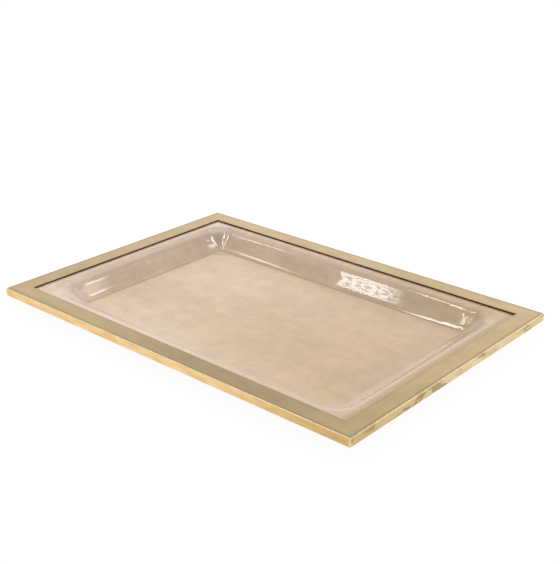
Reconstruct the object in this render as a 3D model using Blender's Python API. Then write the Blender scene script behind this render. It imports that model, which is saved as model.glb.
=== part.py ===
"""A serving tray: a mitred brass frame with a thermoformed acrylic well clamped under its lip.

Units are metres and +Z is up. The origin is on the surface that the tray stands on, under the middle of
the well's floor. X runs along the long sides, and -Y is the front.
"""

import math

import bmesh
import bpy
from mathutils import Euler, Matrix, Vector

GAP = 0.0003

LENGTH = 0.600
WIDTH = 0.422

RAIL_WIDTH = 0.027
RAIL_DEPTH = 0.0112
OUTER_WALL = 0.004
LAND_WIDTH = 0.010
LIP_THICKNESS = 0.0021
TOP_ARRIS = 0.0007
SMALL_ARRIS = 0.0004
ARRIS_STEPS = 2

SHEET = 0.003
WELL_DEPTH = 0.024
WALL_SLOPE = math.radians(36.5)
RIM_BEND = 0.028
RIM_BEND_STEPS = 7
CREASE_RADIUS = 0.005
CREASE_STEPS = 3
RIM_MARGIN_X = 0.0075
RIM_MARGIN_Y = 0.0040
RIM_CORNER = 0.034
FLOOR_CORNER = 0.004
FLANGE_CORNER = 0.002
CORNER_STEPS = 12

PLATE_THICKNESS = 0.002
PLATE_INNER = 0.024
PLATE_LEG = 0.062
PLATE_ARRIS = 0.0015

SCREW_INSET = 0.009
SCREW_RADIUS = 0.0015
SCREW_LENGTH = 0.006
HEAD_RADIUS = 0.0028
SLOT_WIDTH = 0.0008
SLOT_DEPTH = 0.0007
SCREW_SIDES = 12
HOLE_CLEARANCE = 0.0003
CORNER_SCREWS = (0.024, 0.050)
LONG_STRIP_SCREWS = 3
SHORT_STRIP_SCREWS = 2
STRIP_END_TO_SCREW = 0.030

# Heights, from the surface under the well up to the frame's top face
FLOOR_TOP = SHEET
FLANGE_TOP = SHEET + WELL_DEPTH
FLANGE_UNDER = FLANGE_TOP - SHEET
LIP_UNDER = FLANGE_TOP + GAP
TOP = LIP_UNDER + LIP_THICKNESS
RAIL_UNDER = TOP - RAIL_DEPTH
PLATE_TOP = FLANGE_UNDER - GAP
PLATE_UNDER = PLATE_TOP - PLATE_THICKNESS

SIDES = {
    "front": (0.0, LENGTH, WIDTH),
    "right": (90.0, WIDTH, LENGTH),
    "back": (180.0, LENGTH, WIDTH),
    "left": (270.0, WIDTH, LENGTH),
}
CORNERS = {
    "front_left": (-1, -1),
    "front_right": (1, -1),
    "back_right": (1, 1),
    "back_left": (-1, 1),
}


def clear_scene():
    """Removes every object that the file holds."""
    for obj in list(bpy.data.objects):
        bpy.data.objects.remove(obj, do_unlink=True)


def material(name, colour, roughness, metallic, transmission=0.0):
    """A Principled material, made once and shared by the pieces that have this finish."""
    found = bpy.data.materials.get(name)
    if found:
        return found
    mat = bpy.data.materials.new(name)
    mat.use_nodes = True
    shader = mat.node_tree.nodes["Principled BSDF"]
    shader.inputs["Base Color"].default_value = (*colour, 1.0)
    shader.inputs["Roughness"].default_value = roughness
    shader.inputs["Metallic"].default_value = metallic
    shader.inputs["Transmission Weight"].default_value = transmission
    return mat


def frame_brass():
    """Satin brass of the four rails."""
    return material("frame_brass", (0.56, 0.46, 0.27), 0.34, 1.0)


def bronze_acrylic():
    """Pale bronze translucent acrylic of the well."""
    return material("bronze_acrylic", (0.70, 0.56, 0.43), 0.08, 0.0, 0.35)


def plate_brass():
    """Mill finish brass of the hidden plates and strips."""
    return material("plate_brass", (0.62, 0.49, 0.24), 0.45, 1.0)


def screw_brass():
    """Turned brass of the screws."""
    return material("screw_brass", (0.72, 0.57, 0.28), 0.30, 1.0)


def add_object(name, mesh, mat, parent=None):
    """Links a mesh to the scene as one named piece."""
    obj = bpy.data.objects.new(name, mesh)
    bpy.context.scene.collection.objects.link(obj)
    if not mesh.materials:
        mesh.materials.append(mat)
    obj.parent = parent
    return obj


def add_empty(name, location, turn_degrees=0.0):
    """An empty that carries the pieces of one side."""
    empty = bpy.data.objects.new(name, None)
    bpy.context.scene.collection.objects.link(empty)
    empty.location = location
    empty.rotation_euler = Euler((0.0, 0.0, math.radians(turn_degrees)))
    return empty


def skin_loops(bm, loops):
    """Closed body through rings of points that all have the same count, with a cap on the first and last."""
    rings = [[bm.verts.new(point) for point in loop] for loop in loops]
    for ring, following in zip(rings, rings[1:]):
        for i in range(len(ring)):
            j = (i + 1) % len(ring)
            bm.faces.new((ring[i], ring[j], following[j], following[i]))
    bm.faces.new(rings[0])
    bm.faces.new(rings[-1])
    bmesh.ops.recalc_face_normals(bm, faces=bm.faces[:])


def mesh_from_loops(name, loops):
    """A mesh of one closed body through rings of points."""
    bm = bmesh.new()
    skin_loops(bm, loops)
    mesh = bpy.data.meshes.new(name)
    bm.to_mesh(mesh)
    bm.free()
    return mesh


def shade_round(mesh, sharp_degrees=30.0):
    """Smooth shading that keeps the real edges sharp."""
    mesh.shade_smooth()
    mesh.set_sharp_from_angle(angle=math.radians(sharp_degrees))


def rounded_outline(corners, steps):
    """Points of a polygon whose corners are (x, y, radius), each rounded by an arc of that radius."""
    points = []
    for i, (x, y, radius) in enumerate(corners):
        here = Vector((x, y))
        if radius == 0.0:
            points.append(here)
            continue
        before = (Vector(corners[i - 1][:2]) - here).normalized()
        after = (Vector(corners[(i + 1) % len(corners)][:2]) - here).normalized()
        half = before.angle(after) / 2
        centre = here + (before + after).normalized() * (radius / math.sin(half))
        start = here + before * (radius / math.tan(half)) - centre
        sweep = math.pi - 2 * half
        turn = math.copysign(sweep, start.y * before.x - start.x * before.y)
        for k in range(steps + 1):
            arm = start.copy()
            arm.rotate(Matrix.Rotation(turn * k / steps, 2))
            points.append(centre + arm)
    return points


def rounded_rectangle(half_x, half_y, radius, z):
    """Ring of points round a rectangle with arcs at its corners, anticlockwise from the right side."""
    ring = []
    for quarter, (side_x, side_y) in enumerate(((1, 1), (-1, 1), (-1, -1), (1, -1))):
        centre_x = side_x * (half_x - radius)
        centre_y = side_y * (half_y - radius)
        for k in range(CORNER_STEPS + 1):
            angle = math.pi / 2 * (quarter + k / CORNER_STEPS)
            ring.append((centre_x + radius * math.cos(angle), centre_y + radius * math.sin(angle), z))
    return ring


def rail_section():
    """Stepped section of a rail: (inset from the outer face, height)."""
    land_edge = OUTER_WALL + LAND_WIDTH
    return rounded_outline(
        (
            (0.0, RAIL_UNDER, SMALL_ARRIS),
            (0.0, TOP, TOP_ARRIS),
            (RAIL_WIDTH, TOP, SMALL_ARRIS),
            (RAIL_WIDTH, LIP_UNDER, SMALL_ARRIS),
            (land_edge, LIP_UNDER, 0.0),
            (land_edge, FLANGE_UNDER, 0.0),
            (OUTER_WALL, FLANGE_UNDER, 0.0),
            (OUTER_WALL, RAIL_UNDER, SMALL_ARRIS),
        ),
        ARRIS_STEPS,
    )


def cylinder_loops(stations, sides):
    """Rings of points round the Z axis through (radius, height) stations."""
    loops = []
    for radius, z in stations:
        ring = []
        for k in range(sides):
            angle = 2 * math.pi * k / sides
            ring.append((radius * math.cos(angle), radius * math.sin(angle), z))
        loops.append(ring)
    return loops


def cut(obj, cutter):
    """Takes the cutter's volume out of a piece, and leaves the cutter as a guide."""
    cutter.hide_render = True
    cutter.display_type = "WIRE"
    modifier = obj.modifiers.new("cut_" + cutter.name, "BOOLEAN")
    modifier.operation = "DIFFERENCE"
    modifier.solver = "EXACT"
    modifier.object = cutter


def hole_cutter(name, places, stations, parent):
    """One guide object that holds a turned cutter at each place in the parent's plan."""
    bm = bmesh.new()
    for x, y in places:
        loops = cylinder_loops(stations, SCREW_SIDES)
        skin_loops(bm, [[(px + x, py + y, pz) for px, py, pz in loop] for loop in loops])
    mesh = bpy.data.meshes.new(name)
    bm.to_mesh(mesh)
    bm.free()
    cutter = bpy.data.objects.new(name, mesh)
    bpy.context.scene.collection.objects.link(cutter)
    cutter.parent = parent
    return cutter


def tapped_hole_stations():
    """Blind hole in a rail's land, from just below the land up past the screw's tip."""
    radius = SCREW_RADIUS + HOLE_CLEARANCE
    return ((radius, FLANGE_UNDER - GAP), (radius, PLATE_UNDER + SCREW_LENGTH + GAP))


def countersink_stations():
    """Countersunk hole right through a plate, which follows the screw's head at a small clearance."""
    head = HEAD_RADIUS + HOLE_CLEARANCE
    shank = SCREW_RADIUS + HOLE_CLEARANCE
    neck = PLATE_UNDER + head - shank
    return ((head + GAP, PLATE_UNDER - GAP), (shank, neck), (shank, PLATE_TOP + GAP))


def screw_mesh():
    """Countersunk slotted screw, head down, with the face of its head at z = 0."""
    neck = HEAD_RADIUS - SCREW_RADIUS
    stations = (
        (HEAD_RADIUS, 0.0),
        (SCREW_RADIUS, neck),
        (SCREW_RADIUS, SCREW_LENGTH - SCREW_RADIUS / 2),
        (SCREW_RADIUS / 2, SCREW_LENGTH),
    )
    blank = add_object("screw_blank", mesh_from_loops("screw", cylinder_loops(stations, SCREW_SIDES)), screw_brass())
    reach = 2 * HEAD_RADIUS
    half = SLOT_WIDTH / 2
    slot_plan = ((-reach, -half), (reach, -half), (reach, half), (-reach, half))
    slot_mesh = mesh_from_loops("screw_slot", [[(x, y, z) for x, y in slot_plan] for z in (-SLOT_DEPTH, SLOT_DEPTH)])
    slot = add_object("screw_slot", slot_mesh, screw_brass())
    cut(blank, slot)
    shaped = blank.evaluated_get(bpy.context.evaluated_depsgraph_get())
    mesh = bpy.data.meshes.new_from_object(shaped)
    mesh.name = "countersunk_screw"
    shade_round(mesh, 40.0)
    bpy.data.objects.remove(blank, do_unlink=True)
    bpy.data.objects.remove(slot, do_unlink=True)
    return mesh


def strip_screw_places(run):
    """Positions of a clamp strip's screws along its side, about the middle."""
    count = LONG_STRIP_SCREWS if run == LENGTH else SHORT_STRIP_SCREWS
    half = run / 2 - OUTER_WALL - GAP - PLATE_LEG - GAP - STRIP_END_TO_SCREW
    return [half * (2 * k / (count - 1) - 1) for k in range(count)]


def rail_screw_places(run, depth):
    """Every screw that goes up into one rail, in the plan of its own side."""
    row = SCREW_INSET - depth / 2
    along = [side * (run / 2 - place) for side in (-1, 1) for place in CORNER_SCREWS]
    return [(x, row) for x in along + strip_screw_places(run)]


def make_rail(side, parent, run, depth):
    """A frame rail along its side's X axis, with mitred ends and blind screw holes."""
    section = rail_section()
    mitre_gap = GAP / math.sqrt(2)
    loops = []
    for end in (-1, 1):
        loops.append([(end * (run / 2 - u - mitre_gap), u - depth / 2, z) for u, z in section])
    mesh = mesh_from_loops("rail_" + side, loops)
    shade_round(mesh)
    rail = add_object("rail_" + side, mesh, frame_brass(), parent)
    holes = hole_cutter("rail_holes_" + side, rail_screw_places(run, depth), tapped_hole_stations(), parent)
    cut(rail, holes)


def make_strip(side, parent, run, depth):
    """A flat bar under the well's flange, between two corner plates."""
    half = run / 2 - OUTER_WALL - GAP - PLATE_LEG - GAP
    near = OUTER_WALL + GAP - depth / 2
    far = PLATE_INNER - depth / 2
    outline = rounded_outline(
        (
            (-half, near, PLATE_ARRIS),
            (half, near, PLATE_ARRIS),
            (half, far, PLATE_ARRIS),
            (-half, far, PLATE_ARRIS),
        ),
        ARRIS_STEPS,
    )
    loops = [[(x, y, z) for x, y in outline] for z in (PLATE_UNDER, PLATE_TOP)]
    strip = add_object("clamp_strip_" + side, mesh_from_loops("clamp_strip_" + side, loops), plate_brass(), parent)
    places = [(x, SCREW_INSET - depth / 2) for x in strip_screw_places(run)]
    cut(strip, hole_cutter("strip_holes_" + side, places, countersink_stations(), parent))
    return places


def make_corner_plate(name, side_x, side_y):
    """An L-shaped plate under a mitre, inside the rails' outer walls."""
    outer_x = LENGTH / 2 - OUTER_WALL - GAP
    outer_y = WIDTH / 2 - OUTER_WALL - GAP
    inner = PLATE_INNER - OUTER_WALL - GAP
    plan = (
        (outer_x, outer_y),
        (outer_x, outer_y - PLATE_LEG),
        (outer_x - inner, outer_y - PLATE_LEG),
        (outer_x - inner, outer_y - inner),
        (outer_x - PLATE_LEG, outer_y - inner),
        (outer_x - PLATE_LEG, outer_y),
    )
    outline = rounded_outline([(side_x * x, side_y * y, PLATE_ARRIS) for x, y in plan], ARRIS_STEPS)
    loops = [[(x, y, z) for x, y in outline] for z in (PLATE_UNDER, PLATE_TOP)]
    plate = add_object("corner_plate_" + name, mesh_from_loops("corner_plate_" + name, loops), plate_brass())
    row_x = LENGTH / 2 - SCREW_INSET
    row_y = WIDTH / 2 - SCREW_INSET
    places = []
    for place in CORNER_SCREWS:
        places.append((side_x * (LENGTH / 2 - place), side_y * row_y))
        places.append((side_x * row_x, side_y * (WIDTH / 2 - place)))
    cut(plate, hole_cutter("plate_holes_" + name, places, countersink_stations(), None))
    return places


def well_profile():
    """Section of the well from its flange to its floor: (inset, drop, slope) along the upper face."""
    straight = WELL_DEPTH - (RIM_BEND + CREASE_RADIUS) * (1 - math.cos(WALL_SLOPE))
    straight /= math.sin(WALL_SLOPE)
    stations = []
    for k in range(RIM_BEND_STEPS + 1):
        slope = WALL_SLOPE * k / RIM_BEND_STEPS
        stations.append((RIM_BEND * math.sin(slope), RIM_BEND * (1 - math.cos(slope)), slope))
    end_inset = stations[-1][0] + straight * math.cos(WALL_SLOPE) + CREASE_RADIUS * math.sin(WALL_SLOPE)
    for k in range(CREASE_STEPS, -1, -1):
        slope = WALL_SLOPE * k / CREASE_STEPS
        inset = end_inset - CREASE_RADIUS * math.sin(slope)
        drop = WELL_DEPTH - CREASE_RADIUS * (1 - math.cos(slope))
        stations.append((inset, drop, slope))
    return stations


def make_well():
    """The acrylic sheet: flange, rounded rim, sloped walls with conical corners, and flat floor."""
    rim_x = LENGTH / 2 - RAIL_WIDTH - RIM_MARGIN_X
    rim_y = WIDTH / 2 - RAIL_WIDTH - RIM_MARGIN_Y
    land_edge = OUTER_WALL + LAND_WIDTH + GAP
    stations = well_profile()
    last_inset = stations[-1][0]
    upper = []
    under = []
    for inset, drop, slope in stations:
        corner = RIM_CORNER + (FLOOR_CORNER - RIM_CORNER) * inset / last_inset
        out = SHEET * math.sin(slope)
        upper.append(rounded_rectangle(rim_x - inset, rim_y - inset, corner, FLANGE_TOP - drop))
        under_z = FLANGE_TOP - drop - SHEET * math.cos(slope)
        under.append(rounded_rectangle(rim_x - inset + out, rim_y - inset + out, corner + out, under_z))
    flange_x = LENGTH / 2 - land_edge
    flange_y = WIDTH / 2 - land_edge
    edge = [rounded_rectangle(flange_x, flange_y, FLANGE_CORNER, z) for z in (FLANGE_TOP, FLANGE_UNDER)]
    mesh = mesh_from_loops("acrylic_well", upper[::-1] + edge + under)
    shade_round(mesh, 50.0)
    add_object("acrylic_well", mesh, bronze_acrylic())


def place_screws(prefix, spots, mesh):
    """A screw at each spot in world plan, its slot turned a little further each time."""
    for number, (x, y) in enumerate(spots, start=1):
        screw = add_object(f"{prefix}_{number:02d}", mesh, screw_brass())
        screw.location = (x, y, PLATE_UNDER)
        screw.rotation_euler = Euler((0.0, 0.0, math.radians(47.0 * number)))


def main():
    """Builds the whole tray."""
    clear_scene()
    strip_spots = []
    for side, (turn, run, depth) in SIDES.items():
        carrier = add_empty("side_" + side, (0.0, 0.0, 0.0), turn)
        make_rail(side, carrier, run, depth)
        spin = Matrix.Rotation(math.radians(turn), 2)
        strip_spots += [tuple(spin @ Vector(place)) for place in make_strip(side, carrier, run, depth)]
    corner_spots = []
    for name, (side_x, side_y) in CORNERS.items():
        corner_spots += make_corner_plate(name, side_x, side_y)
    make_well()
    mesh = screw_mesh()
    place_screws("corner_screw", corner_spots, mesh)
    place_screws("strip_screw", strip_spots, mesh)


main()
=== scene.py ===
"""Looks of a serving tray: a mitred brass frame that holds a thermoformed acrylic well.

Units are metres and +Z is up. X runs along the long sides and -Y is the front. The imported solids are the
frame that everything here is fitted to. The rails and the well are modelled again with their fine surface,
the screws are set out by geometry nodes, and the plates and strips keep their solids and get their finish.
"""

from __future__ import annotations

import logging
import math
from dataclasses import dataclass, replace
from enum import Enum

import bmesh
import bpy
from mathutils import Matrix, Vector, noise


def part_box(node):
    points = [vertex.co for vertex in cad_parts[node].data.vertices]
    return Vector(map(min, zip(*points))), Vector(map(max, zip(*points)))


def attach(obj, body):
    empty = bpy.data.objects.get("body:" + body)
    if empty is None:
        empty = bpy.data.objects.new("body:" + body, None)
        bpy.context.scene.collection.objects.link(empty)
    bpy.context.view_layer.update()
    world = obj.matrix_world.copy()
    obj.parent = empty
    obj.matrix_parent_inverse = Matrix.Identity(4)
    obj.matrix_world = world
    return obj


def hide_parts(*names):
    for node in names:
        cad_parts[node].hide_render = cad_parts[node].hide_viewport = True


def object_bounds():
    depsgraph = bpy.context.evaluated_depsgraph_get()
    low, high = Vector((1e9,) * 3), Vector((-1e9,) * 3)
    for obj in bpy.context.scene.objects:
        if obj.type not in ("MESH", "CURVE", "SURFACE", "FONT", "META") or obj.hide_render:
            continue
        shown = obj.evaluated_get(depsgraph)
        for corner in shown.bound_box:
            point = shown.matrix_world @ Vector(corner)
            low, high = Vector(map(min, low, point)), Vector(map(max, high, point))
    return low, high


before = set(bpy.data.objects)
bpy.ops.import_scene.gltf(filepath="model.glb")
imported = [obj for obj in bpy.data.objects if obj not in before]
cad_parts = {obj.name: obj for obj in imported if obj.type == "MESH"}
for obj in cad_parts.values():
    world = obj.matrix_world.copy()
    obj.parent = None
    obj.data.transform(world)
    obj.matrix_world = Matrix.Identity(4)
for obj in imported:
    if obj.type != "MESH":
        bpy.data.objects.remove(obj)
cad_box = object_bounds()

log = logging.getLogger("serving_tray")

Socket = bpy.types.NodeSocket
Value = Socket | float | int | str | tuple
Inputs = dict[str | int, Value]
Colour = tuple[float, float, float]
Point = tuple[float, float, float]
Range = tuple[float, float]

BODY = "root"
WHITE = (1.0, 1.0, 1.0)
ROSY = (1.0, 0.80, 0.84)


class Side(Enum):
    """A side of the tray. Its value is the turn, in degrees, that brings the front side there."""

    FRONT = 0
    RIGHT = 90
    BACK = 180
    LEFT = 270

    @property
    def is_long(self) -> bool:
        """Whether the side runs along X."""
        return self.value % 180 == 0

    @property
    def node(self) -> str:
        """Name of the rail's solid."""
        return f"rail_{self.name.lower()}"


class Pattern(Enum):
    """Where a finish reads its pattern: in the tray's own space, or along and round a rail."""

    SPACE = "Object"
    RAIL = "rail_uv"


class GroupKind(Enum):
    """What a node group makes. Its value is the type of its tree and the kind of its result."""

    MASK = ("ShaderNodeTree", "Float")
    SHAPE = ("GeometryNodeTree", "Geometry")


@dataclass(frozen=True)
class TraySizes:
    """Main sizes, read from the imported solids.

    Attributes:
        length: Overall length of the frame along X.
        width: Overall width of the frame along Y.
        rail_width: Width of a rail's top face.
        top: Height of the frame's top face.
        rail_under: Height of the rails' lower edge.
        flange_top: Height of the well's flange.
        flange_under: Height of the flange's lower face.
        gap: Clearance between pieces that touch.
    """

    length: float
    width: float
    rail_width: float
    top: float
    rail_under: float
    flange_top: float
    flange_under: float
    gap: float = 0.0003

    @classmethod
    def from_frame(cls) -> TraySizes:
        """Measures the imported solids.

        Returns:
            The sizes that the fine meshes are fitted to.
        """
        left_low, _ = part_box(Side.LEFT.node)
        rail_low, rail_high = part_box(Side.FRONT.node)
        _, strip_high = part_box("clamp_strip_front")
        _, well_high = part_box("acrylic_well")
        return cls(
            length=-2.0 * left_low.x,
            width=-2.0 * rail_low.y,
            rail_width=rail_high.y - rail_low.y,
            top=rail_high.z,
            rail_under=rail_low.z,
            flange_top=well_high.z,
            flange_under=strip_high.z + cls.gap,
        )

    @property
    def lip_under(self) -> float:
        """Height of the lip's lower face, just above the flange."""
        return self.flange_top + self.gap


class Graph:
    """Adds nodes to one node tree and links them."""

    def __init__(self, tree: bpy.types.NodeTree) -> None:
        """Keeps the tree that the nodes go into."""
        self.tree = tree

    def put(self, socket: Socket, value: Value) -> None:
        """Links an output to a socket, or sets the socket's own value.

        Args:
            socket: The input to feed.
            value: Another node's output, or a plain value.
        """
        if isinstance(value, Socket):
            self.tree.links.new(value, socket)
        else:
            socket.default_value = value

    def add(self, kind: str, inputs: Inputs | None = None, **settings: object) -> bpy.types.Node:
        """Adds one node.

        Args:
            kind: Blender's name of the node type.
            inputs: Values or outputs for its inputs, by name or number.
            **settings: Properties of the node itself.

        Returns:
            The new node.
        """
        node = self.tree.nodes.new(kind)
        for name, setting in settings.items():
            setattr(node, name, setting)
        for key, value in (inputs or {}).items():
            self.put(node.inputs[key], value)
        return node

    def out(self, kind: str, inputs: Inputs | None = None, **settings: object) -> Socket:
        """First output of a node that is added."""
        return self.add(kind, inputs, **settings).outputs[0]

    def math(self, operation: str, *values: Value) -> Socket:
        """Output of a Math node on up to three values."""
        return self.out("ShaderNodeMath", dict(enumerate(values)), operation=operation)

    def compare(self, operation: str, first: Value, second: Value) -> Socket:
        """Truth of a comparison of two numbers."""
        return self.out("FunctionNodeCompare", {0: first, 1: second}, operation=operation)

    def join(self, x: Value = 0.0, y: Value = 0.0, z: Value = 0.0) -> Socket:
        """A vector of three values."""
        return self.out("ShaderNodeCombineXYZ", {0: x, 1: y, 2: z})

    def split(self, vector: Value) -> bpy.types.NodeOutputs:
        """The three values of a vector."""
        return self.add("ShaderNodeSeparateXYZ", {0: vector}).outputs

    def place(self) -> Socket:
        """Coordinates in the tray's own space."""
        return self.add("ShaderNodeTexCoord").outputs["Object"]

    def attribute(self, name: str) -> Socket:
        """Number that a mesh carries on its points."""
        return self.add("ShaderNodeAttribute", attribute_name=name).outputs["Fac"]

    def stretched(self, where: Value, x: Value, y: Value, z: Value) -> Socket:
        """Coordinates multiplied by a factor along each axis."""
        return self.out("ShaderNodeVectorMath", {0: where, 1: self.join(x, y, z)}, operation="MULTIPLY")

    def noise(self, where: Value, scale: Value, detail: float = 3.0, roughness: float = 0.55) -> Socket:
        """Noise about 0.5, with a scale in waves in a metre."""
        inputs = {"Vector": where, "Scale": scale, "Detail": detail, "Roughness": roughness}
        return self.out("ShaderNodeTexNoise", inputs)

    def span(self, value: Value, limits: Range, results: Range = (0.0, 1.0)) -> Socket:
        """Smooth step of a value from one range to another.

        Args:
            value: What is mapped.
            limits: Where the step starts and ends.
            results: What comes out up to its start and past its end.

        Returns:
            The mapped value.
        """
        inputs = {"Value": value, "From Min": limits[0], "From Max": limits[1]}
        inputs.update({"To Min": results[0], "To Max": results[1]})
        return self.out("ShaderNodeMapRange", inputs, interpolation_type="SMOOTHSTEP")

    def varied(self, mask: Value, depth: float) -> Socket:
        """A level about 1 that falls by the depth where the mask rises to 1."""
        return self.math("MULTIPLY_ADD", mask, -depth, 1.0 + 0.5 * depth)

    def mix(self, share: Value, first: Value, second: Value, blend: str = "MIX") -> Socket:
        """Mix of two colours.

        Args:
            share: How much of the second shows.
            first: Colour or socket at a share of 0.
            second: Colour or socket at a share of 1.
            blend: Blender's name of the blend.

        Returns:
            The mixed colour.
        """
        inputs = {0: share, 6: solid(first), 7: solid(second)}
        return self.add("ShaderNodeMix", inputs, data_type="RGBA", blend_type=blend).outputs[2]

    def shaded(self, colour: Value, level: Value) -> Socket:
        """A colour multiplied by a level of light."""
        grey = self.out("ShaderNodeCombineColor", {0: level, 1: level, 2: level})
        return self.mix(1.0, colour, grey, "MULTIPLY")

    def group(self, tree: bpy.types.NodeTree, **inputs: Value) -> Socket:
        """First output of a node group that is placed with its own values.

        Args:
            tree: The group's tree.
            **inputs: Its inputs by name.

        Returns:
            The group's first output.
        """
        node = self.add("ShaderNodeGroup", node_tree=tree)
        for name, value in inputs.items():
            self.put(node.inputs[name], value)
        return node.outputs[0]


def solid(colour: Value) -> Value:
    """A colour with its alpha, or the socket that was given."""
    return (*colour, 1.0) if isinstance(colour, tuple) and len(colour) == 3 else colour


def start_group(
    kind: GroupKind,
    name: str,
    inputs: dict[str, str | float],
    result: str,
) -> tuple[Graph, dict[str, Socket]]:
    """Starts a node group.

    Args:
        kind: What the group makes.
        name: The group's name.
        inputs: For each input, the kind of its socket, or the default of a plain number.
        result: Name of its output.

    Returns:
        The graph to fill, and the group's inputs by name.
    """
    tree_type, result_kind = kind.value
    tree = bpy.data.node_groups.new(name, tree_type)
    for label, given in inputs.items():
        socket_kind = given if isinstance(given, str) else "Float"
        socket = tree.interface.new_socket(label, in_out="INPUT", socket_type=f"NodeSocket{socket_kind}")
        if not isinstance(given, str):
            socket.default_value = given
    tree.interface.new_socket(result, in_out="OUTPUT", socket_type=f"NodeSocket{result_kind}")
    graph = Graph(tree)
    source = graph.add("NodeGroupInput").outputs
    return graph, {label: source[label] for label in inputs}


def start_material(name: str) -> tuple[Graph, bpy.types.Node]:
    """Makes a material that holds one Principled shader.

    Args:
        name: The material's name.

    Returns:
        Its graph, and the Principled node.
    """
    made = bpy.data.materials.new(name)
    made.use_nodes = True
    return Graph(made.node_tree), made.node_tree.nodes["Principled BSDF"]


def linked(name: str, data: bpy.types.ID) -> bpy.types.Object:
    """Puts a mesh, a lamp or a camera in the scene.

    Args:
        name: The object's name.
        data: What it shows.

    Returns:
        The new object.
    """
    made = bpy.data.objects.new(name, data)
    bpy.context.scene.collection.objects.link(made)
    return made


class Effects:
    """Shader node groups that several finishes share. Each puts out one mask from 0 to 1.

    Attributes:
        middle: Middle of a noise.
        streaks: Heights of the noise between which a streak grows.
        bare: Height of the noise that stays bare with no cover of tarnish.
        covered: How much that height falls at full cover.
        breaks: Heights of the noise between which the wear grows to full.
        least_wear: Share of the wear that is left in its breaks.
    """

    middle: float = 0.5
    streaks: Range = (0.3, 0.7)
    bare: float = 0.7
    covered: float = 0.4
    breaks: Range = (0.30, 0.55)
    least_wear: float = 0.7

    def __init__(self) -> None:
        """Builds every group once."""
        self.clouds = self._clouds()
        self.grain = self._grain()
        self.tarnish = self._tarnish()
        self.worn_arris = self._worn_arris()

    @staticmethod
    def _end(graph: Graph, mask: Socket) -> bpy.types.NodeTree:
        """Links the mask to the group's output, held between 0 and 1."""
        graph.add("NodeGroupOutput", {"Mask": graph.out("ShaderNodeClamp", {"Value": mask})})
        return graph.tree

    def _clouds(self) -> bpy.types.NodeTree:
        """Large soft clouds, as in a cast sheet or in handled metal.

        Returns:
            The group's tree.
        """
        inputs = {"Vector": "Vector", "Scale": 10.0, "Stretch": 1.0, "Softness": 0.4}
        graph, ins = start_group(GroupKind.MASK, "soft_clouds", inputs, "Mask")
        drawn = graph.stretched(ins["Vector"], ins["Stretch"], 1.0, 1.0)
        height = graph.noise(drawn, ins["Scale"], detail=3.0, roughness=0.5)
        low = graph.math("MULTIPLY_ADD", ins["Softness"], -self.middle, self.middle)
        lifted = graph.math("SUBTRACT", height, low)
        return self._end(graph, graph.math("DIVIDE", lifted, ins["Softness"]))

    def _grain(self) -> bpy.types.NodeTree:
        """Fine streaks that run along the pattern's first axis.

        Returns:
            The group's tree.
        """
        inputs = {"Vector": "Vector", "Along": 20.0, "Across": 1500.0}
        graph, ins = start_group(GroupKind.MASK, "brushed_grain", inputs, "Mask")
        drawn = graph.stretched(ins["Vector"], ins["Along"], ins["Across"], ins["Across"])
        height = graph.noise(drawn, 1.0, detail=4.0, roughness=0.6)
        return self._end(graph, graph.span(height, self.streaks))

    def _tarnish(self) -> bpy.types.NodeTree:
        """Ragged spots. Cover is the share of the surface that they take.

        Returns:
            The group's tree.
        """
        inputs = {"Vector": "Vector", "Scale": 60.0, "Stretch": 1.0, "Cover": 0.2, "Edge": 0.05}
        graph, ins = start_group(GroupKind.MASK, "tarnish_spots", inputs, "Mask")
        drawn = graph.stretched(ins["Vector"], ins["Stretch"], 1.0, 1.0)
        coarse = graph.noise(drawn, ins["Scale"], detail=5.0, roughness=0.65)
        limit = graph.math("MULTIPLY_ADD", ins["Cover"], -self.covered, self.bare)
        above = graph.math("SUBTRACT", coarse, limit)
        return self._end(graph, graph.math("DIVIDE", above, ins["Edge"]))

    def _worn_arris(self) -> bpy.types.NodeTree:
        """Rubbed corners of a section, broken up along their length.

        Returns:
            The group's tree.
        """
        inputs = {"Vector": "Vector", "Scale": 35.0, "Amount": 0.8}
        graph, ins = start_group(GroupKind.MASK, "worn_arris", inputs, "Mask")
        arris = graph.math("MAXIMUM", graph.attribute("arris"), 0.0)
        waves = graph.noise(ins["Vector"], ins["Scale"], detail=4.0)
        broken = graph.span(waves, self.breaks, (self.least_wear, 1.0))
        worn = graph.math("MULTIPLY", arris, broken)
        return self._end(graph, graph.math("MULTIPLY", worn, ins["Amount"]))


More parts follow.
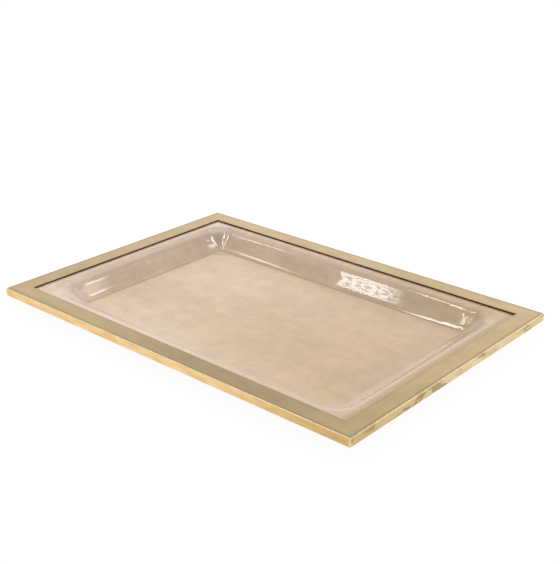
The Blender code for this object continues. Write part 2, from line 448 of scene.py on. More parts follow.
@dataclass(frozen=True)
class BrassFinish:
    """One kind of brass surface.

    Attributes:
        name: Name of the material.
        base: Colour of the clean metal.
        cloud: Colour of the clouds of old polish and handling.
        stain: Colour of the tarnish spots.
        rubbed: Colour of the worn arrises.
        roughness: Roughness of the clean metal.
        pattern: Where the pattern is read.
        painted_shade: Colour of the wide soft patch of painted shade.
        painted_shade_centre: Middle of that patch of painted shade.
        painted_shade_reach: Distances from there over which the painted shade ends.
        painted_shade_amount: Share of the shade colour in the middle.
        painted_shade_ragged: How far the patch's edge wanders.
        painted_shade_waves: Waves in a metre of that edge.
        cloud_scale: Clouds in a metre.
        cloud_stretch: Their scale along the piece, against that across it.
        cloud_softness: Softness of their edges.
        cloud_amount: Strongest share of the cloud colour.
        mottle_scale: Patches of finer mottling in a metre.
        mottle_stretch: Their scale along the piece, against that across it.
        mottle_softness: Softness of their edges.
        mottle_depth: How much they darken and lighten the metal.
        grain_along: Grain waves in a metre along the piece.
        grain_across: Grain waves in a metre across it.
        grain_depth: How much the grain darkens the metal.
        grain_scuff: Share of the roughness that the grain adds.
        stain_scale: Tarnish spots in a metre.
        stain_stretch: Their scale along the piece, against that across it.
        stain_cover: Share of the surface under tarnish.
        stain_edge: Softness of a spot's edge.
        stain_amount: Strongest share of the stain colour.
        stain_scuff: Roughness that the tarnish adds.
        wear: Share of the rubbed colour on the arrises.
        corner_reach: How far from the frame's upright corners the metal is rubbed and given a painted
            highlight.
        corner_core: Share of that reach in which the rubbing and the painted highlight are full.
        corner_wear_and_highlight: Share of the rubbed colour there, partly wear and partly a painted
            highlight.
        scuff: Roughness that the wear adds.
        edge_shade: Share of the stain colour in the thin line of painted shade beside an arris.
        relief: Strength of the fine relief.
        relief_height: Height of the fine relief.
    """

    name: str
    base: Colour
    cloud: Colour
    stain: Colour
    rubbed: Colour
    roughness: float
    pattern: Pattern = Pattern.RAIL
    painted_shade: Colour | None = None
    painted_shade_centre: Point = (0.10, -0.2, 0.03)
    painted_shade_reach: Range = (0.10, 0.25)
    painted_shade_amount: float = 0.9
    painted_shade_ragged: float = 0.05
    painted_shade_waves: float = 14.0
    cloud_scale: float = 14.0
    cloud_stretch: float = 1.0
    cloud_softness: float = 0.35
    cloud_amount: float = 0.6
    mottle_scale: float = 75.0
    mottle_stretch: float = 0.5
    mottle_softness: float = 0.5
    mottle_depth: float = 0.14
    grain_along: float = 14.0
    grain_across: float = 1300.0
    grain_depth: float = 0.05
    grain_scuff: float = 0.12
    stain_scale: float = 70.0
    stain_stretch: float = 0.4
    stain_cover: float = 0.15
    stain_edge: float = 0.08
    stain_amount: float = 0.5
    stain_scuff: float = 0.25
    wear: float = 0.7
    corner_reach: float = 0.0
    corner_core: float = 0.3
    corner_wear_and_highlight: float = 0.55
    scuff: float = 0.28
    edge_shade: float = 0.0
    relief: float = 0.05
    relief_height: float = 0.0002

    def build(self, effects: Effects) -> bpy.types.Material:
        """Makes the material.

        Args:
            effects: The shared node groups.

        Returns:
            The finished material.
        """
        graph, shader = start_material(self.name)
        where = self._coordinates(graph)
        clouds = graph.group(
            effects.clouds,
            Vector=where,
            Scale=self.cloud_scale,
            Stretch=self.cloud_stretch,
            Softness=self.cloud_softness,
        )
        grain = graph.group(effects.grain, Vector=where, Along=self.grain_along, Across=self.grain_across)
        spots = graph.group(
            effects.tarnish,
            Vector=where,
            Scale=self.stain_scale,
            Stretch=self.stain_stretch,
            Cover=self.stain_cover,
            Edge=self.stain_edge,
        )
        mottle = graph.group(
            effects.clouds,
            Vector=where,
            Scale=self.mottle_scale,
            Stretch=self.mottle_stretch,
            Softness=self.mottle_softness,
        )
        worn = graph.group(effects.worn_arris, Vector=where, Amount=self.wear)
        # The upright corners are paler: partly wear, partly a painted highlight.
        if self.corner_reach:
            worn = graph.math("MAXIMUM", worn, self._rubbed_and_lit_corner(graph))
        stained = graph.math("MULTIPLY", spots, self.stain_amount)
        colour = graph.mix(graph.math("MULTIPLY", clouds, self.cloud_amount), self.base, self.cloud)
        # Painted shade: a wide soft darker patch where the light falls off on the near rails.
        if self.painted_shade is not None:
            colour = graph.mix(self._painted_shade_share(graph), colour, self.painted_shade)
        shade = graph.math("MULTIPLY_ADD", grain, -self.grain_depth, graph.varied(mottle, self.mottle_depth))
        colour = graph.mix(stained, graph.shaded(colour, shade), self.stain)
        colour = graph.mix(worn, colour, self.rubbed)
        # A thin line of painted shade beside the arrises, in the stain colour.
        if self.edge_shade:
            edge_shade_share = graph.math("MAXIMUM", graph.math("MULTIPLY", graph.attribute("arris"), -1.0), 0.0)
            colour = graph.mix(graph.math("MULTIPLY", edge_shade_share, self.edge_shade), colour, self.stain)
        graph.put(shader.inputs["Base Color"], colour)
        rough = graph.math("MULTIPLY_ADD", grain, self.grain_scuff * self.roughness, self.roughness)
        rough = graph.math("MULTIPLY_ADD", stained, self.stain_scuff, rough)
        graph.put(shader.inputs["Roughness"], graph.math("MULTIPLY_ADD", worn, self.scuff, rough))
        shader.inputs["Metallic"].default_value = 1.0
        relief = {"Strength": self.relief, "Distance": self.relief_height, "Height": grain}
        graph.put(shader.inputs["Normal"], graph.out("ShaderNodeBump", relief))
        return bpy.data.materials[self.name]

    def _painted_shade_share(self, graph: Graph) -> Socket:
        """Share of the painted shade: one wide soft darker patch.

        Args:
            graph: The material's graph.

        Returns:
            The share.
        """
        spot = graph.place()
        distance = graph.add("ShaderNodeVectorMath", {0: spot, 1: self.painted_shade_centre}, operation="DISTANCE")
        away = distance.outputs["Value"]
        ragged = graph.math("MULTIPLY_ADD", graph.noise(spot, self.painted_shade_waves), self.painted_shade_ragged, away)
        return graph.span(ragged, self.painted_shade_reach, (self.painted_shade_amount, 0.0))

    def _rubbed_and_lit_corner(self, graph: Graph) -> Socket:
        """Share of the rubbed colour on the frame's upright corners: partly wear, partly a painted
        highlight.

        Args:
            graph: The material's graph.

        Returns:
            The share.
        """
        near = []
        for part, half in zip(graph.split(graph.place()), cad_box[1][:2]):
            reach = (half - self.corner_reach, half - self.corner_core * self.corner_reach)
            near.append(graph.span(graph.math("ABSOLUTE", part), reach))
        return graph.math("MULTIPLY", graph.math("MULTIPLY", *near), self.corner_wear_and_highlight)

    def _coordinates(self, graph: Graph) -> Socket:
        """Output that the pattern is read from.

        Args:
            graph: The material's graph.

        Returns:
            The coordinates.
        """
        if self.pattern is Pattern.RAIL:
            return graph.out("ShaderNodeUVMap", uv_map=Pattern.RAIL.value)
        return graph.place()


SATIN_TOP = BrassFinish(
    name="satin_brass_top",
    base=(0.665, 0.478, 0.278),
    cloud=(0.52, 0.41, 0.195),
    stain=(0.36, 0.25, 0.11),
    rubbed=(0.86, 0.66, 0.38),
    roughness=0.27,
    # Painted shade along the front rail's top.
    painted_shade=(0.425, 0.32, 0.175),
    cloud_scale=20.0,
    cloud_stretch=0.5,
    cloud_amount=0.85,
    stain_scale=30.0,
    stain_cover=0.14,
    stain_edge=0.20,
    stain_amount=0.35,
    wear=0.6,
    # Painted shade in a thin line beside the top's arrises.
    edge_shade=0.9,
)
POLISHED_EDGE = BrassFinish(
    name="polished_brass_edge",
    base=(0.95, 0.72, 0.38),
    cloud=(0.84, 0.46, 0.15),
    stain=(0.42, 0.26, 0.09),
    rubbed=(1.0, 0.86, 0.60),
    roughness=0.20,
    # Painted shade on the front outer face towards the right corner.
    painted_shade=(0.66, 0.43, 0.17),
    painted_shade_centre=(0.30, -0.21, 0.02),
    painted_shade_reach=(0.04, 0.24),
    cloud_scale=130.0,
    cloud_stretch=0.22,
    cloud_amount=0.75,
    grain_along=40.0,
    grain_across=700.0,
    grain_depth=0.14,
    stain_scale=120.0,
    stain_cover=0.16,
    stain_amount=0.55,
    wear=1.0,
    corner_reach=0.003,
    relief=0.02,
)
TARNISHED_EDGE = replace(
    POLISHED_EDGE,
    name="tarnished_brass_edge",
    base=(0.88, 0.69, 0.40),
    cloud=(0.70, 0.49, 0.22),
    stain=(0.33, 0.25, 0.09),
    roughness=0.24,
    painted_shade=(0.66, 0.46, 0.20),
    cloud_scale=110.0,
    cloud_stretch=0.25,
    cloud_amount=0.85,
    grain_along=50.0,
    grain_depth=0.18,
    stain_scale=40.0,
    stain_stretch=0.5,
    stain_cover=0.42,
    stain_edge=0.04,
    stain_amount=0.7,
)
# Dark brown brass on the lip's inner face: partly oxide, partly painted shade of the gap under the lip.
SHADED_OXIDISED_LIP = BrassFinish(
    name="oxidised_brass_lip",
    base=(0.17, 0.058, 0.007),
    cloud=(0.13, 0.045, 0.005),
    stain=(0.20, 0.08, 0.012),
    rubbed=(0.20, 0.11, 0.04),
    roughness=0.5,
    stain_cover=0.2,
    wear=0.25,
)
MILL_PLATE = BrassFinish(
    name="mill_finish_brass",
    base=(0.62, 0.47, 0.23),
    cloud=(0.50, 0.38, 0.18),
    stain=(0.30, 0.21, 0.09),
    rubbed=(0.75, 0.58, 0.32),
    roughness=0.42,
    pattern=Pattern.SPACE,
    grain_across=900.0,
    grain_depth=0.15,
    stain_scale=60.0,
    stain_stretch=1.0,
    stain_cover=0.12,
)
TURNED_SCREW = BrassFinish(
    name="turned_brass_screw",
    base=(0.72, 0.55, 0.27),
    cloud=(0.60, 0.45, 0.21),
    stain=(0.34, 0.24, 0.10),
    rubbed=(0.80, 0.63, 0.36),
    roughness=0.30,
    pattern=Pattern.SPACE,
    cloud_scale=80.0,
    grain_along=900.0,
    grain_across=900.0,
    stain_scale=300.0,
    stain_stretch=1.0,
)


@dataclass(frozen=True)
class AcrylicFinish:
    """Glossy, cloudy, faintly tinted acrylic that lets some light through.

    Attributes:
        name: Name of the material.
        base: Colour of the sheet.
        rosy: Colour of its warmer clouds.
        smoky: Colour of its darker clouds.
        crease: Colour of the painted shade in the tight bend at the foot of the walls.
        flange: Paler colour of the flange and the top of the rim's bend, a painted sheen.
        rosy_share: Strongest share of the warmer clouds.
        smoky_share: Strongest share of the darker clouds.
        streak_share: Strongest share of the smoky colour in the streaks.
        cloud_scale: Clouds in a metre.
        smoky_scale: Scale of the darker clouds, against that of the warmer ones.
        softness: Softness of the clouds' edges.
        shift: Offset of the second set of clouds.
        drawn: Change of the colour in the walls, which were drawn thinner.
        drawn_range: Heights over which it sets in.
        front: Painted light that makes the front of the floor and the wall there paler.
        front_light_range: Range of Y over which it ends.
        left: Painted shade that darkens the left flange, rim and upper wall.
        left_shade_range: Range of X over which it ends.
        smoke_and_shade_drift: Share of its colour that the sheet keeps at its right end, partly a smokier
            tint and partly painted shade of the light falling off across the tray.
        smoke_and_shade_range: Range of X over which it grows smokier and darker.
        rail_shade: Share of its colour that it keeps beside the right rail, a painted shade.
        rail_shade_range: Range of X over which that painted shade sets in.
        mottle_scale: Smaller clouds in a metre.
        mottle_depth: How much they darken the sheet.
        grit_scale: Fine mottling, in waves in a metre.
        grit_softness: Softness of its edges.
        grit_depth: How much it darkens the sheet.
        draw_scale: Waves in a metre of the streaks that run level round the drawn walls.
        draw_limits: Heights of their noise between which the sheet changes.
        draw_depth: How much they darken and lighten the sheet.
        streak_along: Streak waves in a metre along the tray.
        streak_across: Streak waves in a metre across it.
        body_roughness: Roughness of the cloudy body.
        streak_roughness: Roughness that the streaks add.
        gloss_roughness: Roughness of the polished surface.
        refraction: Index of refraction.
        body_gloss: Specular level under the polished surface.
        clearness: Share of light that goes through.
        ripple_scale: Ripples in a metre of the moulded surface.
        ripple: Strength of the ripples.
        peel_scale: Finer ripples in a metre.
        peel: Strength of the finer ripples.
        ripple_height: Height of the relief at a strength of 1.
    """

    name: str = "bronze_acrylic_gloss"
    base: Colour = (0.785, 0.565, 0.362)
    rosy: Colour = (0.825, 0.545, 0.385)
    smoky: Colour = (0.64, 0.495, 0.265)
    crease: Colour = (0.36, 0.25, 0.15)
    flange: Colour = (0.90, 0.71, 0.57)
    rosy_share: float = 0.8
    smoky_share: float = 0.6
    streak_share: float = 0.4
    cloud_scale: float = 12.0
    smoky_scale: float = 0.6
    softness: float = 0.5
    shift: Point = (3.1, 1.7, 0.4)
    drawn: Colour = (0.985, 1.03, 1.13)
    drawn_range: Range = (0.004, 0.008)
    front: Colour = (1.15, 1.18, 1.27)
    front_light_range: Range = (-0.142, -0.06)
    left: Colour = (0.935, 0.925, 0.955)
    left_shade_range: Range = (-0.236, -0.222)
    smoke_and_shade_drift: Colour = (0.90, 0.855, 0.735)
    smoke_and_shade_range: Range = (-0.15, 0.24)
    rail_shade: Colour = (0.80, 0.715, 0.53)
    rail_shade_range: Range = (0.260, 0.268)
    mottle_scale: float = 45.0
    mottle_depth: float = 0.16
    grit_scale: float = 170.0
    grit_softness: float = 0.6
    grit_depth: float = 0.10
    draw_scale: Point = (9.0, 9.0, 300.0)
    draw_limits: Range = (0.38, 0.62)
    draw_depth: float = 0.035
    streak_along: float = 12.0
    streak_across: float = 95.0
    body_roughness: float = 0.28
    streak_roughness: float = 0.06
    gloss_roughness: float = 0.03
    refraction: float = 1.49
    body_gloss: float = 0.25
    clearness: float = 0.25
    ripple_scale: float = 110.0
    ripple: float = 0.012
    peel_scale: float = 260.0
    peel: float = 0.0024
    ripple_height: float = 0.0003

    def build(self, effects: Effects) -> bpy.types.Material:
        """Makes the material.

        Args:
            effects: The shared node groups.

        Returns:
            The finished material.
        """
        graph, shader = start_material(self.name)
        where = graph.place()
        lines = {"Along": self.streak_along, "Across": self.streak_across}
        streaks = graph.group(effects.grain, Vector=where, **lines)
        colour = self._placed_tints_and_light(graph, where, self._clouded(graph, effects, where, streaks))
        graph.put(shader.inputs["Base Color"], colour)
        rough = graph.math("MULTIPLY_ADD", streaks, self.streak_roughness, self.body_roughness)
        graph.put(shader.inputs["Roughness"], rough)
        constants = {
            "IOR": self.refraction,
            "Specular IOR Level": self.body_gloss,
            "Transmission Weight": self.clearness,
            "Coat Weight": 1.0,
            "Coat Roughness": self.gloss_roughness,
            "Coat IOR": self.refraction,
        }
        for name, value in constants.items():
            shader.inputs[name].default_value = value
        ripples = graph.math("MULTIPLY", graph.noise(where, self.ripple_scale, detail=2.0), self.ripple)
        peel = graph.noise(where, self.peel_scale, detail=1.0)
        relief = graph.math("MULTIPLY_ADD", peel, self.peel, ripples)
        raised = {"Strength": 1.0, "Distance": self.ripple_height, "Height": relief}
        bump = graph.out("ShaderNodeBump", raised)
        graph.put(shader.inputs["Normal"], bump)
        graph.put(shader.inputs["Coat Normal"], bump)
        return bpy.data.materials[self.name]

    def _clouded(self, graph: Graph, effects: Effects, where: Socket, streaks: Socket) -> Socket:
        """The sheet's own colour, with its clouds, streaks and mottling.

        Args:
            graph: The material's graph.
            effects: The shared node groups.
            where: Coordinates.
            streaks: The mask of the streaks.

        Returns:
            The colour.
        """
        moved = graph.out("ShaderNodeMapping", {"Vector": where, "Location": self.shift})
        sets = (
            (where, self.cloud_scale, self.softness),
            (moved, self.smoky_scale * self.cloud_scale, self.softness),
            (moved, self.mottle_scale, self.softness),
            (where, self.grit_scale, self.grit_softness),
        )
        warm, dark, mottle, grit = (
            graph.group(effects.clouds, Vector=place, Scale=scale, Softness=softness)
            for place, scale, softness in sets
        )
        colour = self.base
        shares = (
            (warm, self.rosy_share, self.rosy),
            (dark, self.smoky_share, self.smoky),
            (streaks, self.streak_share, self.smoky),
        )
        for mask, share, tone in shares:
            colour = graph.mix(graph.math("MULTIPLY", mask, share), colour, tone)
        level = graph.out("ShaderNodeMapping", {"Vector": where, "Scale": self.draw_scale})
        waves = graph.noise(level, 1.0, detail=2.0)
        drawn = graph.span(waves, self.draw_limits, (1.0 + self.draw_depth, 1.0 - self.draw_depth))
        coarse = graph.varied(mottle, self.mottle_depth)
        fine = graph.varied(grit, self.grit_depth)
        shade = graph.math("MULTIPLY", graph.math("MULTIPLY", coarse, fine), drawn)
        return graph.shaded(colour, shade)

    def _placed_tints_and_light(self, graph: Graph, where: Socket, colour: Socket) -> Socket:
        """The colour as it changes from place to place in the moulded well, with the painted light and shade
        there.

        Args:
            graph: The material's graph.
            where: Coordinates.
            colour: The sheet's own colour.

        Returns:
            The changed colour.
        """
        across, ahead, height = graph.split(where)
        # Darker towards the right: partly a smokier tint, partly painted shade.
        tint = graph.mix(graph.span(across, self.smoke_and_shade_range), WHITE, self.smoke_and_shade_drift)
        # Painted shade on the flange beside the right rail.
        tint = graph.mix(graph.span(across, self.rail_shade_range), tint, self.rail_shade)
        # Painted light along the front and painted shade in the left wall; the change up the walls is the
        # sheet's own.
        changes = (
            (graph.span(height, self.drawn_range), self.drawn),
            (graph.span(ahead, self.front_light_range, (1.0, 0.0)), self.front),
            (graph.span(across, self.left_shade_range, (1.0, 0.0)), self.left),
        )
        for share, change in changes:
            colour = graph.mix(share, colour, change, "MULTIPLY")
        # Painted sheen: the flange and the top of the rim's bend are made paler.
        flange_sheen = graph.mix(1.0, tint, self.flange, "MULTIPLY")
        colour = graph.mix(graph.attribute("flange"), colour, flange_sheen)
        colour = graph.mix(1.0, colour, tint, "MULTIPLY")
        # Painted shade in the tight bend at the foot of the walls.
        return graph.mix(graph.attribute("crease"), colour, self.crease)


def finished_piece(name: str, mesh: bpy.types.Mesh, nodes: list[str]) -> bpy.types.Object:
    """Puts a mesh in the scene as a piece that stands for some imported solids.

    Args:
        name: The piece's name.
        mesh: Its mesh, in place.
        nodes: The solids that it stands for.

    Returns:
        The new object, which rides on the tray's body.
    """
    piece = linked(name, mesh)
    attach(piece, BODY)
    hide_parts(*nodes)
    log.info("%s: %d faces, stands for %d solids", name, len(mesh.polygons), len(nodes))
    return piece


def mesh_from_nodes(
    source: bpy.types.Mesh,
    tree: bpy.types.NodeTree,
    inputs: dict[str, object],
) -> bpy.types.Mesh:
    """Runs a geometry tree on a mesh once, and keeps what comes out as a plain mesh.

    Args:
        source: The mesh that the tree starts from.
        tree: The geometry tree.
        inputs: Values of its inputs, by name.

    Returns:
        The resulting mesh.
    """
    carrier = linked("carrier", source)
    modifier = carrier.modifiers.new("build", "NODES")
    modifier.node_group = tree
    for item in tree.interface.items_tree:
        if item.item_type == "SOCKET" and item.in_out == "INPUT" and item.name in inputs:
            modifier[item.identifier] = inputs[item.name]
    graph = bpy.context.evaluated_depsgraph_get()
    shaped = carrier.evaluated_get(graph)
    mesh = bpy.data.meshes.new_from_object(shaped, preserve_all_data_layers=True, depsgraph=graph)
    carrier.modifiers.clear()
    bpy.data.objects.remove(carrier, do_unlink=True)
    for index in reversed(range(len(mesh.materials))):
        if mesh.materials[index] is None:
            mesh.materials.pop(index=index)
    return mesh


@dataclass
class FrameRails:
    """Four mitred rails of stepped section, each swept along its side by geometry nodes.

    Attributes:
        sizes: Sizes of the tray.
        outer_wall: Thickness of the upright outer wall.
        land_width: Width of the land that the plates are screwed to.
        top_arris: Radius of the outer top arris.
        small_arris: Radius of the other arrises.
        arris_steps: Facets round an arris.
        hold: Width of the narrow facets that keep the faces beside an arris flat.
        edge_shade_line: Width of the thin lines of painted shade on the top face beside its arrises.
        outer_edge_shade: Strength of the painted shade beside the outer top arris.
        inner_edge_shade: Strength of the painted shade beside the inner one.
        edge_shade_turn: Where the painted shade begins to fade, against the line's width, and its share
            there.
        edge_shade_end: Where it ends, against the line's width.
        mitre_gap: Width of the hairline at a mitre, across the joint.
        stations: Rings along a rail.
        smooth_angle: Largest angle between faces that are shaded as one.
        outward: Least slope outwards, along -Y, of a face with the outer finish.
        inward: Least slope inwards of a face with the lip's finish.
    """

    sizes: TraySizes
    outer_wall: float = 0.004
    land_width: float = 0.010
    top_arris: float = 0.0016
    small_arris: float = 0.0004
    arris_steps: int = 5
    hold: float = 0.0003
    edge_shade_line: float = 0.0022
    outer_edge_shade: float = 1.0
    inner_edge_shade: float = 0.5
    edge_shade_turn: Range = (0.6, 0.8)
    edge_shade_end: float = 1.5
    mitre_gap: float = 0.00004
    stations: int = 81
    smooth_angle: float = math.radians(35.0)
    outward: float = 0.3
    inward: float = 0.5

    def build(self, effects: Effects) -> list[bpy.types.Object]:
        """Builds and dresses the four rails.

        Args:
            effects: The shared node groups.

        Returns:
            The rails.
        """
        tree = self._tree()
        section = self._section_mesh()
        shared = {
            "Mitre Gap": self.mitre_gap / math.sqrt(2),
            "Stations": self.stations,
            "Lip Under": self.sizes.lip_under,
            "Top Finish": SATIN_TOP.build(effects),
            "Lip Finish": SHADED_OXIDISED_LIP.build(effects),
        }
        polished = POLISHED_EDGE.build(effects)
        tarnished = TARNISHED_EDGE.build(effects)
        rails = []
        for side in Side:
            run, depth = self.sizes.length / 2, self.sizes.width / 2
            if not side.is_long:
                run, depth = depth, run
            outer = tarnished if side in (Side.RIGHT, Side.BACK) else polished
            inputs = {"Half Run": run, "Half Depth": depth, "Outer Finish": outer, **shared}
            mesh = mesh_from_nodes(section, tree, inputs)
            mesh.transform(Matrix.Rotation(math.radians(side.value), 4, "Z"))
            mesh.set_sharp_from_angle(angle=self.smooth_angle)
            rails.append(finished_piece(f"mitred_{side.node}", mesh, [side.node]))
        return rails

    def _outline(self) -> list[tuple[Vector, float]]:
        """Points of the rail's section, from the hidden inner foot of the wall.

        Returns:
            Inset and height of each point, with its mark: up to 1 on an arris, below 0 in the thin line of
            painted shade beside it.
        """
        sizes = self.sizes
        land_edge = self.outer_wall + self.land_width
        corners = (
            (self.outer_wall, sizes.flange_under, 0.0, 0.0, 0.0),
            (self.outer_wall, sizes.rail_under, self.small_arris, 0.0, 0.0),
            (0.0, sizes.rail_under, self.small_arris, 0.0, 0.0),
            # The two top arrises carry thin lines of painted shade beside them.
            (0.0, sizes.top, self.top_arris, 0.0, self.outer_edge_shade),
            (sizes.rail_width, sizes.top, self.small_arris, self.inner_edge_shade, 0.0),
            (sizes.rail_width, sizes.lip_under, self.small_arris, 0.0, 0.0),
            (land_edge, sizes.lip_under, 0.0, 0.0, 0.0),
            (land_edge, sizes.flange_under, 0.0, 0.0, 0.0),
        )
        points = []
        for i, (x, y, radius, shade_before, shade_after) in enumerate(corners):
            here = Vector((x, y))
            if radius == 0.0:
                points.append((here, 0.0))
                continue
            before = (Vector(corners[i - 1][:2]) - here).normalized()
            after = (Vector(corners[(i + 1) % len(corners)][:2]) - here).normalized()
            half = before.angle(after) / 2
            reach = radius / math.tan(half)
            centre = here + (before + after).normalized() * (radius / math.sin(half))
            arm = here + before * reach - centre
            turn = math.copysign(math.pi - 2 * half, arm.y * before.x - arm.x * before.y)
            for away, mark in reversed(self._edge_shade_points(shade_before)):
                points.append((here + before * (reach + away), mark))
            for k in range(self.arris_steps + 1):
                share = k / self.arris_steps
                spoke = arm.copy()
                spoke.rotate(Matrix.Rotation(turn * share, 2))
                points.append((centre + spoke, math.sin(math.pi * share)))
            for away, mark in self._edge_shade_points(shade_after):
                points.append((here + after * (reach + away), mark))
        return points

    def _edge_shade_points(self, amount: float) -> list[Range]:
        """Points on the flat beside an arris, where a thin line of painted shade may lie.

        Args:
            amount: How dark the painted shade is there.

        Returns:
            Distance from the arris and mark of each point.
        """
        if amount == 0.0:
            return [(self.hold, 0.0)]
        turn, share = self.edge_shade_turn
        faded = (turn * self.edge_shade_line, -share * amount)
        return [(self.hold, -amount), faded, (self.edge_shade_end * self.edge_shade_line, 0.0)]

    def _section_mesh(self) -> bpy.types.Mesh:
        """Closed loop of edges with the section's inset, height, girth and arris on its points.

        Returns:
            The loop.
        """
        outline = self._outline()
        mesh = bpy.data.meshes.new("rail_section")
        count = len(outline)
        edges = [(i, (i + 1) % count) for i in range(count)]
        mesh.from_pydata([(point.x, point.y, 0.0) for point, _ in outline], edges, [])
        girth = 0.0
        values = {"inset": [], "height": [], "girth": [], "arris": []}
        for i, (point, arris) in enumerate(outline):
            if i:
                girth += (point - outline[i - 1][0]).length
            for column, value in zip(values.values(), (point.x, point.y, girth, arris)):
                column.append(value)
        for name, column in values.items():
            mesh.attributes.new(name, "FLOAT", "POINT").data.foreach_set("value", column)
        return mesh

    def _tree(self) -> bpy.types.NodeTree:
        """Geometry tree that sweeps the section along a side, cuts the mitres and dresses the faces.

        Returns:
            The tree.
        """
        inputs = {
            "Section": "Geometry",
            "Half Run": "Float",
            "Half Depth": "Float",
            "Mitre Gap": "Float",
            "Stations": "Int",
            "Lip Under": "Float",
            "Top Finish": "Material",
            "Outer Finish": "Material",
            "Lip Finish": "Material",
        }
        graph, given = start_group(GroupKind.SHAPE, "mitred_rail", inputs, "Rail")
        profile = graph.out("GeometryNodeMeshToCurve", {"Mesh": given["Section"]})
        ends = {"Start": (-1.0, 0.0, 0.0), "End": (1.0, 0.0, 0.0)}
        line = graph.out("GeometryNodeCurvePrimitiveLine", ends)
        path = graph.out("GeometryNodeResampleCurve", {"Curve": line, "Count": given["Stations"]})
        along = graph.split(graph.out("GeometryNodeInputPosition"))[0]
        marked = {"Geometry": path, "Name": "along", "Value": along}
        path = graph.out("GeometryNodeStoreNamedAttribute", marked)
        sweep = {"Curve": path, "Profile Curve": profile, "Fill Caps": True}
        swept = graph.out("GeometryNodeCurveToMesh", sweep)
        turned = graph.out("GeometryNodeFlipFaces", {"Mesh": swept})
        read = {
            name: graph.out("GeometryNodeInputNamedAttribute", {"Name": name})
            for name in ("along", "inset", "height", "girth")
        }
        run = graph.math("SUBTRACT", given["Half Run"], read["inset"])
        reach = graph.math("SUBTRACT", run, given["Mitre Gap"])
        x = graph.math("MULTIPLY", read["along"], reach)
        y = graph.math("SUBTRACT", read["inset"], given["Half Depth"])
        where = graph.join(x, y, read["height"])
        placed = graph.out("GeometryNodeSetPosition", {"Geometry": turned, "Position": where})
        store = graph.add("GeometryNodeStoreNamedAttribute", data_type="FLOAT2", domain="CORNER")
        chart = {"Geometry": placed, "Name": Pattern.RAIL.value, "Value": graph.join(x, read["girth"])}
        for name, value in chart.items():
            graph.put(store.inputs[name], value)
        joined = graph.out("GeometryNodeRealizeInstances", {"Geometry": store.outputs[0]})
        dressed = graph.out("GeometryNodeSetShadeSmooth", {"Geometry": joined, "Shade Smooth": True})
        facing = graph.split(graph.add("GeometryNodeInputNormal").outputs["True Normal"])[1]
        height = graph.split(graph.out("GeometryNodeInputPosition"))[2]
        outward = graph.compare("LESS_THAN", facing, -self.outward)
        inward = graph.compare("GREATER_THAN", facing, self.inward)
        raised = graph.compare("GREATER_THAN", height, given["Lip Under"])
        lip = graph.out("FunctionNodeBooleanMath", {0: inward, 1: raised}, operation="AND")
        for finish, chosen in (("Top Finish", True), ("Outer Finish", outward), ("Lip Finish", lip)):
            inputs = {"Geometry": dressed, "Selection": chosen, "Material": given[finish]}
            dressed = graph.out("GeometryNodeSetMaterial", inputs)
        for name in read:
            dressed = graph.out("GeometryNodeRemoveAttribute", {"Geometry": dressed, "Name": name})
        graph.add("NodeGroupOutput", {"Rail": dressed})
        return graph.tree


